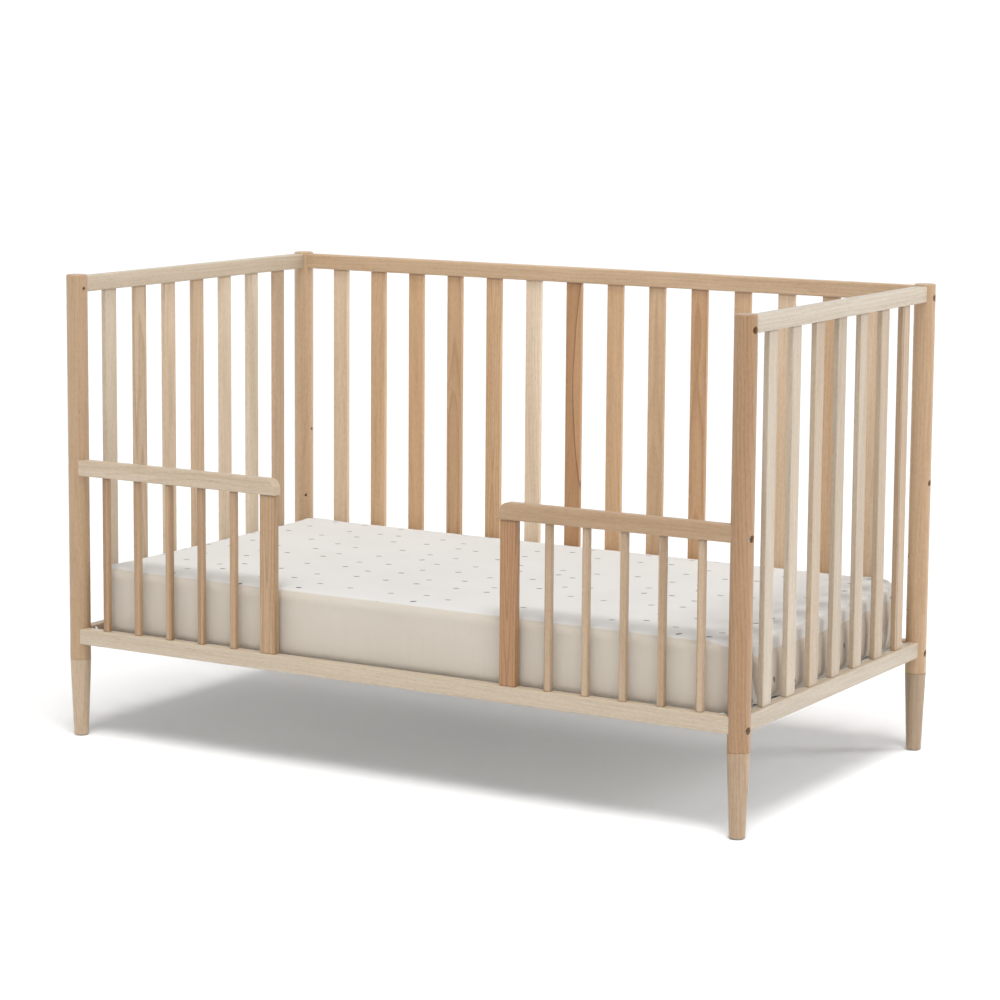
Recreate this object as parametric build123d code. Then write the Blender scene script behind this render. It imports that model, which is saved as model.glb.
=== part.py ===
from build123d import *
import math
import os

# Convertible baby crib, set up as a toddler bed with two half guards.
#
# Millimetres. +Z is up, +X runs along the length, the front faces -Y, and the origin is on the
# floor under the middle of the crib. Beech frame, steel spring support, and a mattress that
# lifts straight out.

# Posts and feet
POST_SPACING_X = 1342.0          # between post axes, along the length
POST_SPACING_Y = 720.0           # between post axes, front to back
POST_D = 38.0
HEIGHT = 848.0
FOOT_TOP = 143.0                 # seam between foot and post
FOOT_TIP_D = 26.5
GLIDE_D = 21.0
GLIDE_T = 2.0
POST_ROUND = 2.5
SEAM_CHAMFER = 0.9
FOOT_TIP_ROUND = 1.0
GLIDE_ROUND = 0.8
STUD_CHAMFER = 1.0

# Rails
RAIL_H = 29.0
RAIL_T = 21.0
RAIL_ROUND = 3.0
BOTTOM_RAIL_Z = 172.0            # underside of the four bottom rails
TOP_RAIL_Z = 816.0               # underside of the three top rails
GUARD_RAIL_Z = 483.0             # underside of the guards' top rails
FRONT_RAIL_SHIFT = 5.0           # the front rails stand this much ahead of the post axes
COPE_GAP = 0.1                   # between a rail's hollowed end and its post

# Slats, spindles and guard boards
SLAT_W = 33.0
SLAT_T = 10.0
SLAT_ROUND = 2.0
BACK_SLATS = 14
END_SLATS = 7
SPINDLE_SIDE = 12.5
SPINDLE_ROUND = 3.0
SPINDLES_PER_GUARD = 5
SPINDLE_FIRST_X = 320.5          # spindle nearest the entry, from the middle of the crib
SPINDLE_PITCH = 70.7
BOARD_W = 30.5
BOARD_T = 16.0
ENTRY_HALF = 227.5               # half of the clear entry between the guard rails
BOARD_INSET = 2.0                # board edge behind the guard rail's end
GUARD_CORNER = 17.0              # radius of the guard rail's free top corner
TENON_LEN = 10.0
TENON_GAP = 0.1
MORTISE_SPARE = 0.5              # mortise deeper than its tenon
SLAT_TENON = (SLAT_W - 6, SLAT_T - 3)
BOARD_TENON = (BOARD_W - 8, BOARD_T - 8)
SPINDLE_TENON_D = 8.0

# Fastenings
BOLT_BELOW_MID = 7.0             # rail bolt, below the rail's middle
DOWEL_ABOVE_MID = 6.5
FRONT_BOLT_SHIFT = 3.0           # the front posts' bolts stand this much ahead of the axis
BOLT_D = 6.0
BOLT_HOLE_D = 6.5
BOLT_HEAD_D = 10.0
BOLT_HEAD_H = 6.0
BOLT_HEAD_CHAMFER = 0.6
HEX_SOCKET = 5.0
HEX_DEPTH = 3.0
COUNTERBORE_D = 12.5
COUNTERBORE_DEPTH = 10.0
INSERT_D = 9.5
INSERT_LEN = 16.0
DOWEL_D = 8.0
DOWEL_IN_POST = 9.5
DOWEL_IN_RAIL = 14.0
STUD_D = 8.0
STUD_UP = 26.0                   # stud above the seam, in the post
STUD_DOWN = 40.0                 # stud below the seam, in the foot
PIN_D = 3.0                      # pin of a glide
PIN_LEN = 12.0
FIT_GAP = 0.1                    # round every plain wooden or steel pin
THREAD_GAP = 0.05

# Mattress support: three heights, used at the lowest one
SUPPORT_HOLE_Z = (186.5, 258.0, 356.0)
SUPPORT_HOLE_D = 5.2
SUPPORT_HOLE_DEPTH = 11.0
FRAME_HALF_X = 640.0
FRAME_FRONT_Y = -338.0
FRAME_REAR_Y = 333.0
FRAME_TOP = 190.2
ANGLE_SIDE = 20.0
ANGLE_T = 2.0
HANGER_STANDOFF = 27.5           # hanger plate, from the post axis along the diagonal
HANGER_T = 3.0
HANGER_W = 24.0
HANGER_REACH = 62.0
HANGER_TOP = 199.0
HANGER_CORNER = 5.0
SHOULDER_D = 8.0
HANGER_HEAD_D = 11.0
HANGER_HEAD_H = 5.4
WIRE_D = 2.6
CROSS_WIRES = 11
CROSS_PITCH = 110.0
LONG_WIRES = 5
LONG_PITCH = 110.0
SPRING_D = 9.0
SPRING_WALL = 1.4
SPRING_LEN = 34.0
WIRE_DROP = 3.4                  # cross wires' axis below the top of the frame
SPRING_DROP = 4.9                # springs' axis below the top of the frame

# Mattress
MATTRESS_L = 1310.0
MATTRESS_W = 694.0
MATTRESS_BOTTOM = 190.5
MATTRESS_TOP = 316.0
MATTRESS_CORNER = 55.0
MATTRESS_EDGE = 14.0
MATTRESS_PADDING = 8.0

POST_R = POST_D / 2
HALF_X = POST_SPACING_X / 2
HALF_Y = POST_SPACING_Y / 2
FRONT_RAIL_Y = -HALF_Y - FRONT_RAIL_SHIFT
FRONT_BOLT_Y = -HALF_Y - FRONT_BOLT_SHIFT
MIDDLE_Y = (FRAME_FRONT_Y + FRAME_REAR_Y) / 2
BOTTOM_RAIL_TOP = BOTTOM_RAIL_Z + RAIL_H
RAIL_LEVELS = {"bottom": BOTTOM_RAIL_Z, "guard": GUARD_RAIL_Z, "top": TOP_RAIL_Z}
SIDES = {"left": -1, "right": 1}
ENDS = {"front": -1, "rear": 1}

os.makedirs("parts", exist_ok=True)


def save(name, solids):
    """Write one node; a list becomes a group of separate solids."""
    shape = Compound(children=list(solids)) if isinstance(solids, list) else solids
    export_step(shape, f"parts/{name}.step")


def rod(diameter, start, end):
    """A round bar between two points."""
    start, end = Vector(*start), Vector(*end)
    span = end - start
    plane = Plane(origin=start, z_dir=span)
    return plane * Cylinder(diameter / 2, span.length, align=(Align.CENTER, Align.CENTER, Align.MIN))


def bar(size, centre, along, radius):
    """A straight bar with its four long edges rounded."""
    block = Box(*size)
    return Pos(*centre) * fillet(block.edges().filter_by(along), radius)


def level(name, offset=0.0):
    """Height of a rail's middle, plus an offset."""
    return RAIL_LEVELS[name] + RAIL_H / 2 + offset


def spread(count, clear, width):
    """Centres of equal members with equal gaps in a clear length."""
    pitch = (clear + width) / (count + 1)
    return [pitch * (i - (count - 1) / 2) for i in range(count)]


BACK_SLAT_X = spread(BACK_SLATS, POST_SPACING_X - POST_D, SLAT_W)
END_SLAT_Y = spread(END_SLATS, POST_SPACING_Y - POST_D, SLAT_W)
SPINDLE_X = [SPINDLE_FIRST_X + SPINDLE_PITCH * i for i in range(SPINDLES_PER_GUARD)]
BOARD_X = ENTRY_HALF + BOARD_INSET + BOARD_W / 2


def bolt_y(end):
    return FRONT_BOLT_Y if end == "front" else HALF_Y


def rail_joints(end):
    """Heights of the rails that are bolted to the posts of one long side."""
    return ("bottom", "guard") if end == "front" else ("bottom", "top")


def diagonal(side, end, reach, z):
    """A point on the inward diagonal of a post, this far from its axis."""
    step = reach / math.sqrt(2)
    return (side * (HALF_X - step), end * (HALF_Y - step), z)


# Posts and feet

def post(side, end):
    x, y = SIDES[side] * HALF_X, ENDS[end] * HALF_Y
    body = Pos(x, y, FOOT_TOP) * Cylinder(
        POST_R, HEIGHT - FOOT_TOP, align=(Align.CENTER, Align.CENTER, Align.MIN))
    body = fillet(body.edges().group_by(Axis.Z)[-1], POST_ROUND)
    body = chamfer(body.edges().group_by(Axis.Z)[0], SEAM_CHAMFER)
    outside = x + SIDES[side] * (POST_R + 1)
    floor_x = x + SIDES[side] * (POST_R - COUNTERBORE_DEPTH)
    inside = x - SIDES[side] * (POST_R + 1)
    for name in RAIL_LEVELS:
        z = level(name, -BOLT_BELOW_MID)
        body -= rod(COUNTERBORE_D, (outside, bolt_y(end), z), (floor_x, bolt_y(end), z))
        body -= rod(BOLT_HOLE_D, (outside, bolt_y(end), z), (inside, bolt_y(end), z))
    for name in rail_joints(end):
        z = level(name, DOWEL_ABOVE_MID)
        hidden = x - SIDES[side] * (POST_R - DOWEL_IN_POST)
        body -= rod(DOWEL_D + 2 * FIT_GAP, (hidden, bolt_y(end), z), (inside, bolt_y(end), z))
    for name in ("bottom", "top"):
        for offset in (-DOWEL_ABOVE_MID, DOWEL_ABOVE_MID):
            z = level(name, offset)
            hidden = y - ENDS[end] * (POST_R - DOWEL_IN_POST)
            face = y - ENDS[end] * (POST_R + 1)
            body -= rod(DOWEL_D + 2 * FIT_GAP, (x, hidden, z), (x, face, z))
    for z in SUPPORT_HOLE_Z:
        body -= rod(SUPPORT_HOLE_D, diagonal(SIDES[side], ENDS[end], POST_R - SUPPORT_HOLE_DEPTH, z),
                    diagonal(SIDES[side], ENDS[end], POST_R + 2, z))
    body -= rod(STUD_D + 2 * FIT_GAP, (x, y, FOOT_TOP - 1), (x, y, FOOT_TOP + STUD_UP + 1))
    return body


def foot(side, end):
    x, y = SIDES[side] * HALF_X, ENDS[end] * HALF_Y
    height = FOOT_TOP - GLIDE_T
    body = Pos(x, y, GLIDE_T) * Cone(
        FOOT_TIP_D / 2, POST_R, height, align=(Align.CENTER, Align.CENTER, Align.MIN))
    body = chamfer(body.edges().group_by(Axis.Z)[-1], SEAM_CHAMFER)
    body = fillet(body.edges().group_by(Axis.Z)[0], FOOT_TIP_ROUND)
    body -= rod(STUD_D + 2 * FIT_GAP, (x, y, FOOT_TOP + 1), (x, y, FOOT_TOP - STUD_DOWN - 1))
    body -= rod(PIN_D + 2 * FIT_GAP, (x, y, GLIDE_T - 1), (x, y, GLIDE_T + PIN_LEN))
    return body


def foot_stud(side, end):
    x, y = side * HALF_X, end * HALF_Y
    stud = rod(STUD_D, (x, y, FOOT_TOP - STUD_DOWN), (x, y, FOOT_TOP + STUD_UP))
    return chamfer(stud.edges().group_by(Axis.Z)[-1] + stud.edges().group_by(Axis.Z)[0], STUD_CHAMFER)


def glide(side, end):
    x, y = side * HALF_X, end * HALF_Y
    pad = rod(GLIDE_D, (x, y, 0), (x, y, GLIDE_T))
    pad = fillet(pad.edges().group_by(Axis.Z)[0], GLIDE_ROUND)
    return pad + rod(PIN_D, (x, y, GLIDE_T - 0.5), (x, y, GLIDE_T + PIN_LEN - 0.5))


# Rails

def posts_hollow(ends, z, sides=(-1, 1)):
    """The round space of the posts, cut from rails that end on them."""
    reach = POST_R + COPE_GAP
    for side in sides:
        for end in ends:
            yield Pos(side * HALF_X, end * HALF_Y, z) * Cylinder(reach, 3 * RAIL_H)


def bolt_pocket(side, end_y, name):
    """Insert pocket and dowel hole in one end of a rail that runs along X."""
    face = side * (HALF_X - POST_R)
    z = level(name, -BOLT_BELOW_MID)
    pocket = rod(INSERT_D + 2 * FIT_GAP, (face + side * 4, end_y, z),
                 (face - side * (INSERT_LEN + 1), end_y, z))
    pocket += rod(BOLT_HOLE_D, (face, end_y, z), (face - side * (INSERT_LEN + 9), end_y, z))
    z = level(name, DOWEL_ABOVE_MID)
    return pocket + rod(DOWEL_D + 2 * FIT_GAP, (face + side * 4, end_y, z),
                        (face - side * (DOWEL_IN_RAIL + 1), end_y, z))


def mortise(size_x, size_y, x, y, face_z, up):
    """Pocket for a tenon, open at a rail's top (up = 1) or underside (up = -1)."""
    depth = TENON_LEN + MORTISE_SPARE
    return Pos(x, y, face_z - up * depth / 2) * Box(
        size_x + 2 * TENON_GAP, size_y + 2 * TENON_GAP, depth)


def spindle_socket(x, face_z, up):
    return rod(SPINDLE_TENON_D + 2 * FIT_GAP, (x, FRONT_RAIL_Y, face_z + up),
               (x, FRONT_RAIL_Y, face_z - up * (TENON_LEN + MORTISE_SPARE)))


def back_rail(name):
    z = RAIL_LEVELS[name] + RAIL_H / 2
    rail = bar((POST_SPACING_X, RAIL_T, RAIL_H), (0, HALF_Y, z), Axis.X, RAIL_ROUND)
    for hollow in posts_hollow([1], z):
        rail -= hollow
    for side in SIDES.values():
        rail -= bolt_pocket(side, HALF_Y, name)
    face, up = (RAIL_LEVELS[name] + RAIL_H, 1) if name == "bottom" else (RAIL_LEVELS[name], -1)
    for x in BACK_SLAT_X:
        rail -= mortise(*SLAT_TENON, x, HALF_Y, face, up)
    return rail


def end_rail(side, name):
    x, z = SIDES[side] * HALF_X, RAIL_LEVELS[name] + RAIL_H / 2
    rail = bar((RAIL_T, POST_SPACING_Y, RAIL_H), (x, 0, z), Axis.Y, RAIL_ROUND)
    for hollow in posts_hollow([-1, 1], z, [SIDES[side]]):
        rail -= hollow
    for end in ENDS.values():
        face = end * (HALF_Y - POST_R)
        for offset in (-DOWEL_ABOVE_MID, DOWEL_ABOVE_MID):
            rail -= rod(DOWEL_D + 2 * FIT_GAP, (x, face + end * 4, z + offset),
                        (x, face - end * (DOWEL_IN_RAIL + 1), z + offset))
    face, up = (RAIL_LEVELS[name] + RAIL_H, 1) if name == "bottom" else (RAIL_LEVELS[name], -1)
    for y in END_SLAT_Y:
        rail -= mortise(SLAT_TENON[1], SLAT_TENON[0], x, y, face, up)
    return rail


def front_bottom_rail():
    z = level("bottom")
    rail = bar((POST_SPACING_X, RAIL_T, RAIL_H), (0, FRONT_RAIL_Y, z), Axis.X, RAIL_ROUND)
    for hollow in posts_hollow([-1], z):
        rail -= hollow
    for side in SIDES.values():
        rail -= bolt_pocket(side, FRONT_BOLT_Y, "bottom")
        rail -= mortise(*BOARD_TENON, side * BOARD_X, FRONT_RAIL_Y, BOTTOM_RAIL_TOP, 1)
        for x in SPINDLE_X:
            rail -= spindle_socket(side * x, BOTTOM_RAIL_TOP, 1)
    return rail


def guard_rail(side):
    """Top rail of one half guard, with its free top corner well rounded."""
    length = HALF_X - ENTRY_HALF
    sign = SIDES[side]
    block = Pos(sign * (ENTRY_HALF + length / 2), FRONT_RAIL_Y, level("guard")) * Box(length, RAIL_T, RAIL_H)
    free_end = block.edges().filter_by(Axis.Y).sort_by(lambda edge: abs(edge.center().X))[:2]
    block = fillet(free_end.sort_by(Axis.Z)[-1], GUARD_CORNER)
    outline = block.faces().filter_by(Axis.Y)
    rail = fillet(outline.edges(), RAIL_ROUND - 0.1)
    for hollow in posts_hollow([-1], level("guard"), [sign]):
        rail -= hollow
    rail -= bolt_pocket(sign, FRONT_BOLT_Y, "guard")
    rail -= mortise(*BOARD_TENON, sign * BOARD_X, FRONT_RAIL_Y, GUARD_RAIL_Z, -1)
    for x in SPINDLE_X:
        rail -= spindle_socket(sign * x, GUARD_RAIL_Z, -1)
    return rail


# Slats, boards and spindles

def upright(size_x, size_y, radius, tenon, x, y, top):
    """A tenoned upright from the bottom rail to the rail above it."""
    height = top - BOTTOM_RAIL_TOP
    middle = (top + BOTTOM_RAIL_TOP) / 2
    body = bar((size_x, size_y, height), (x, y, middle), Axis.Z, radius)
    return body + Pos(x, y, middle) * Box(*tenon, height + 2 * TENON_LEN)


def back_slat(x):
    return upright(SLAT_W, SLAT_T, SLAT_ROUND, SLAT_TENON, x, HALF_Y, TOP_RAIL_Z)


def end_slat(side, y):
    return upright(SLAT_T, SLAT_W, SLAT_ROUND, SLAT_TENON[::-1], SIDES[side] * HALF_X, y, TOP_RAIL_Z)


def guard_board(side):
    x = SIDES[side] * BOARD_X
    return upright(BOARD_W, BOARD_T, SLAT_ROUND, BOARD_TENON, x, FRONT_RAIL_Y, GUARD_RAIL_Z)


def guard_spindle(side, x):
    height = GUARD_RAIL_Z - BOTTOM_RAIL_TOP
    middle = (GUARD_RAIL_Z + BOTTOM_RAIL_TOP) / 2
    place = (SIDES[side] * x, FRONT_RAIL_Y, middle)
    body = bar((SPINDLE_SIDE, SPINDLE_SIDE, height), place, Axis.Z, SPINDLE_ROUND)
    return body + Pos(*place) * Cylinder(SPINDLE_TENON_D / 2, height + 2 * TENON_LEN)


# Fastenings

def rail_bolt(side, end, name):
    """Socket-head bolt from outside the post into the rail's insert."""
    z, y = level(name, -BOLT_BELOW_MID), bolt_y(end)
    seat = side * (HALF_X + POST_R - COUNTERBORE_DEPTH)
    tip = side * (HALF_X - POST_R - INSERT_LEN)
    head = rod(BOLT_HEAD_D, (seat, y, z), (seat + side * BOLT_HEAD_H, y, z))
    top = head.faces().sort_by(lambda face: abs(face.center().X))[-1]
    head = chamfer(top.edges(), BOLT_HEAD_CHAMFER)
    bolt = head + rod(BOLT_D, (seat + side, y, z), (tip, y, z))
    socket = Plane(origin=(seat + side * BOLT_HEAD_H, y, z), z_dir=(side, 0, 0)) * extrude(
        RegularPolygon(HEX_SOCKET / math.sqrt(3), 6), -HEX_DEPTH)
    return bolt - socket


def rail_insert(side, end, name):
    """Threaded insert in the end of a rail."""
    z, y = level(name, -BOLT_BELOW_MID), bolt_y(end)
    start = side * (HALF_X - POST_R - 0.5)
    finish = side * (HALF_X - POST_R - INSERT_LEN)
    body = rod(INSERT_D, (start, y, z), (finish, y, z))
    return body - rod(BOLT_D + 2 * THREAD_GAP, (start + side, y, z), (finish - side, y, z))


def dowels():
    pins = []
    for side in SIDES.values():
        for end in ENDS:
            for name in rail_joints(end):
                z = level(name, DOWEL_ABOVE_MID)
                outer = side * (HALF_X - POST_R + DOWEL_IN_POST)
                inner = side * (HALF_X - POST_R - DOWEL_IN_RAIL)
                pins.append(rod(DOWEL_D, (outer, bolt_y(end), z), (inner, bolt_y(end), z)))
            for name in ("bottom", "top"):
                for offset in (-DOWEL_ABOVE_MID, DOWEL_ABOVE_MID):
                    z = level(name, offset)
                    outer = ENDS[end] * (HALF_Y - POST_R + DOWEL_IN_POST)
                    inner = ENDS[end] * (HALF_Y - POST_R - DOWEL_IN_RAIL)
                    pins.append(rod(DOWEL_D, (side * HALF_X, outer, z), (side * HALF_X, inner, z)))
    return pins


# Mattress support

def angle_bar(length, corner, turn):
    """Steel angle along its own +X, flange on top and leg on the outside (+Y side inwards)."""
    flange = Box(length, ANGLE_SIDE, ANGLE_T, align=(Align.CENTER, Align.MIN, Align.MAX))
    leg = Box(length, ANGLE_T, ANGLE_SIDE, align=(Align.CENTER, Align.MIN, Align.MAX))
    return Pos(*corner) * Rot(0, 0, turn) * (flange + leg)


def support_frame():
    depth = FRAME_REAR_Y - FRAME_FRONT_Y - 2 * ANGLE_SIDE
    front = angle_bar(2 * FRAME_HALF_X, (0, FRAME_FRONT_Y, FRAME_TOP), 0)
    rear = angle_bar(2 * FRAME_HALF_X, (0, FRAME_REAR_Y, FRAME_TOP), 180)
    right = angle_bar(depth, (FRAME_HALF_X, MIDDLE_Y, FRAME_TOP), 90)
    left = angle_bar(depth, (-FRAME_HALF_X, MIDDLE_Y, FRAME_TOP), -90)
    return [front, rear, left, right]


def wire_places():
    cross = [CROSS_PITCH * (i - (CROSS_WIRES - 1) / 2) for i in range(CROSS_WIRES)]
    long = [MIDDLE_Y + LONG_PITCH * (i - (LONG_WIRES - 1) / 2) for i in range(LONG_WIRES)]
    return cross, long


def spring_ends(inset):
    """Half lengths of the net, this far inside the frame's flanges."""
    half_x = FRAME_HALF_X - ANGLE_SIDE - inset
    half_y = (FRAME_REAR_Y - FRAME_FRONT_Y) / 2 - ANGLE_SIDE - inset
    return half_x, half_y


def support_wires():
    cross, long = wire_places()
    half_x, half_y = spring_ends(SPRING_LEN + 1)
    upper = FRAME_TOP - WIRE_DROP
    lower = upper - WIRE_D - 0.1
    wires = [rod(WIRE_D, (x, MIDDLE_Y - half_y, upper), (x, MIDDLE_Y + half_y, upper)) for x in cross]
    return wires + [rod(WIRE_D, (-half_x, y, lower), (half_x, y, lower)) for y in long]


def spring(start, end):
    return rod(SPRING_D, start, end) - rod(SPRING_D - 2 * SPRING_WALL, start, end)


def support_springs():
    cross, long = wire_places()
    near_x, near_y = spring_ends(0.6)
    far_x, far_y = spring_ends(SPRING_LEN)
    z = FRAME_TOP - SPRING_DROP
    springs = []
    for sign in (-1, 1):
        for x in cross:
            springs.append(spring((x, MIDDLE_Y + sign * near_y, z), (x, MIDDLE_Y + sign * far_y, z)))
        for y in long:
            springs.append(spring((sign * near_x, y, z), (sign * far_x, y, z)))
    return springs


def hanger(side, end):
    """Steel hanger across a corner: an upright plate and a shelf under the frame."""
    shelf_top = FRAME_TOP - ANGLE_SIDE
    low = shelf_top - HANGER_T
    plate = Pos(HANGER_STANDOFF, 0, low) * Box(
        HANGER_T, HANGER_W, HANGER_TOP - low, align=(Align.MIN, Align.CENTER, Align.MIN))
    plate = fillet(plate.edges().filter_by(Axis.X).sort_by(Axis.Z)[-2:], HANGER_CORNER)
    reach = HANGER_REACH - HANGER_STANDOFF
    shelf = Pos(HANGER_STANDOFF, 0, low) * Box(
        reach, HANGER_W, HANGER_T, align=(Align.MIN, Align.CENTER, Align.MIN))
    shelf = fillet(shelf.edges().filter_by(Axis.Z).sort_by(Axis.X)[-2:], HANGER_CORNER)
    hole = rod(SHOULDER_D + 2 * FIT_GAP, (HANGER_STANDOFF - 1, 0, SUPPORT_HOLE_Z[0]),
               (HANGER_STANDOFF + HANGER_T + 1, 0, SUPPORT_HOLE_Z[0]))
    turn = math.degrees(math.atan2(-end, -side))
    return Pos(side * HALF_X, end * HALF_Y, 0) * Rot(0, 0, turn) * (plate + shelf - hole)


def hanger_bolt(side, end):
    """Shoulder bolt through a hanger into the post."""
    z = SUPPORT_HOLE_Z[0]

    def at(reach):
        return diagonal(side, end, reach, z)

    plate_face = HANGER_STANDOFF + HANGER_T
    shoulder = rod(SHOULDER_D, at(POST_R + 0.05), at(plate_face + 0.2))
    head = rod(HANGER_HEAD_D, at(plate_face + 0.1), at(plate_face + 0.1 + HANGER_HEAD_H))
    thread = rod(SUPPORT_HOLE_D - 2 * THREAD_GAP, at(POST_R - SUPPORT_HOLE_DEPTH + 0.5), at(POST_R + 1))
    return shoulder + head + thread


# Mattress

def mattress_block(shrink):
    length, width = MATTRESS_L - 2 * shrink, MATTRESS_W - 2 * shrink
    height = MATTRESS_TOP - MATTRESS_BOTTOM - 2 * shrink
    centre = (0, MIDDLE_Y, (MATTRESS_TOP + MATTRESS_BOTTOM) / 2)
    block = bar((length, width, height), centre, Axis.Z, MATTRESS_CORNER - shrink)
    rims = block.edges().group_by(Axis.Z)
    return fillet(rims[0] + rims[-1], MATTRESS_EDGE - shrink / 2)


def mattress():
    """Closed padded shell around the light core, so that it weighs what a mattress weighs."""
    return mattress_block(0) - mattress_block(MATTRESS_PADDING)


# Write every node

CORNERS = [(side, end) for side in SIDES.values() for end in ENDS.values()]
BOLTED = [(side, end, name) for side in SIDES.values() for end in ENDS for name in rail_joints(end)]

for side in SIDES:
    for end in ENDS:
        save(f"post_{end}_{side}", post(side, end))
        save(f"foot_{end}_{side}", foot(side, end))
    for name in ("bottom", "top"):
        save(f"end_rail_{side}_{name}", end_rail(side, name))
    for number, y in enumerate(END_SLAT_Y, 1):
        save(f"end_slat_{side}_{number}", end_slat(side, y))
    save(f"guard_rail_{side}", guard_rail(side))
    save(f"guard_board_{side}", guard_board(side))
    save(f"guard_spindles_{side}", [guard_spindle(side, x) for x in SPINDLE_X])

for number, x in enumerate(BACK_SLAT_X, 1):
    save(f"back_slat_{number:02d}", back_slat(x))
save("back_rail_bottom", back_rail("bottom"))
save("back_rail_top", back_rail("top"))
save("front_rail_bottom", front_bottom_rail())

save("foot_studs", [foot_stud(*corner) for corner in CORNERS])
save("foot_glides", [glide(*corner) for corner in CORNERS])
save("rail_bolts", [rail_bolt(*joint) for joint in BOLTED])
save("rail_inserts", [rail_insert(*joint) for joint in BOLTED])
save("rail_dowels", dowels())

save("support_frame", support_frame())
save("support_wires", support_wires())
save("support_springs", support_springs())
save("support_hangers", [hanger(*corner) for corner in CORNERS])
save("hanger_bolts", [hanger_bolt(*corner) for corner in CORNERS])
save("mattress", mattress())
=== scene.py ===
"""Looks of the convertible baby crib, set up as a toddler bed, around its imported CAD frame."""
import math
import random
import re

import bmesh
import bpy
import numpy as np
from mathutils import Matrix, Vector


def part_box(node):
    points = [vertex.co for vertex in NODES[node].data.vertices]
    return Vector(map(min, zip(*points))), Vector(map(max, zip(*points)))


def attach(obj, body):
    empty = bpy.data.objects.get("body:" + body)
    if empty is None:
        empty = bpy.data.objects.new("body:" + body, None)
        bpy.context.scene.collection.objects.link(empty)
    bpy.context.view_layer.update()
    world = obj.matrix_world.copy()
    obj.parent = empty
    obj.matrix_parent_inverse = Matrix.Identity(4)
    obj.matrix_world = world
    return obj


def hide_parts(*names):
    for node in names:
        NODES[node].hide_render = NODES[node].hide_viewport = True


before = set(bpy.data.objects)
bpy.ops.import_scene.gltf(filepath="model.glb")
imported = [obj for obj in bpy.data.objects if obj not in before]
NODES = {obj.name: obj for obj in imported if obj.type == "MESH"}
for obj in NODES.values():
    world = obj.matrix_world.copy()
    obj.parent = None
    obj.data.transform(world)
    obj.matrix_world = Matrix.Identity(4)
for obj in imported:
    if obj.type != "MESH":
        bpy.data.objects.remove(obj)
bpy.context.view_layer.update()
MM = 0.001


# ---------------------------------------------------------------- camera, floor and light

CAMERA_PLACE = Vector((2.731, -4.569, 1.274))
CAMERA_YAW = 0.5378
CAMERA_PITCH = -0.1272
CAMERA_ROLL = 0.0075
CAMERA_LENS = 107.1
CAMERA_SENSOR = 36
CAMERA_SHIFT = (0.0, -0.08)
FAR_CLIP = 100
FLOOR_RADIUS = 30
FLOOR_SIDES = 48
FLOOR_GREY = 0.92
HORIZON_LIGHT = 1.04
SKY_LIGHT = 0.38
SKY_BAND = (0.25, 0.55)           # heights on the sky's unit sphere between which it dims
KEY_FROM = (0.20, -0.30, 1.0)
KEY_POWER = 2.4
KEY_SOFTNESS = 24                 # degrees
SIDE_PLACE = (3.3, 2.3, 2.0)
SIDE_TARGET = (0.4, 0.0, 0.5)
SIDE_POWER = 45
SIDE_SIZE = 1.2


def new_object(name, data):
    obj = bpy.data.objects.new(name, data)
    bpy.context.collection.objects.link(obj)
    return obj


def make_camera():
    """Level-headed product camera, turned to the right-hand end of the crib."""
    ahead = Vector((-math.sin(CAMERA_YAW) * math.cos(CAMERA_PITCH),
                    math.cos(CAMERA_YAW) * math.cos(CAMERA_PITCH), math.sin(CAMERA_PITCH)))
    right = Vector((math.cos(CAMERA_YAW), math.sin(CAMERA_YAW), 0))
    up = right.cross(ahead)
    turn, lift = math.cos(CAMERA_ROLL), math.sin(CAMERA_ROLL)
    right, up = turn * right + lift * up, turn * up - lift * right
    data = bpy.data.cameras.new("camera")
    data.lens = CAMERA_LENS
    data.sensor_width = CAMERA_SENSOR
    data.shift_x, data.shift_y = CAMERA_SHIFT
    data.clip_end = FAR_CLIP
    camera = new_object("camera", data)
    camera.matrix_world = Matrix.Translation(CAMERA_PLACE) @ Matrix((right, up, -ahead)).transposed().to_4x4()
    bpy.context.scene.camera = camera


def add_side_light():
    data = bpy.data.lights.new("side", "AREA")
    data.shape = "DISK"
    data.size = SIDE_SIZE
    data.energy = SIDE_POWER
    lamp = new_object("side", data)
    lamp.location = SIDE_PLACE
    lamp.rotation_euler = (Vector(SIDE_TARGET) - Vector(SIDE_PLACE)).to_track_quat("-Z", "Y").to_euler()


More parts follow.
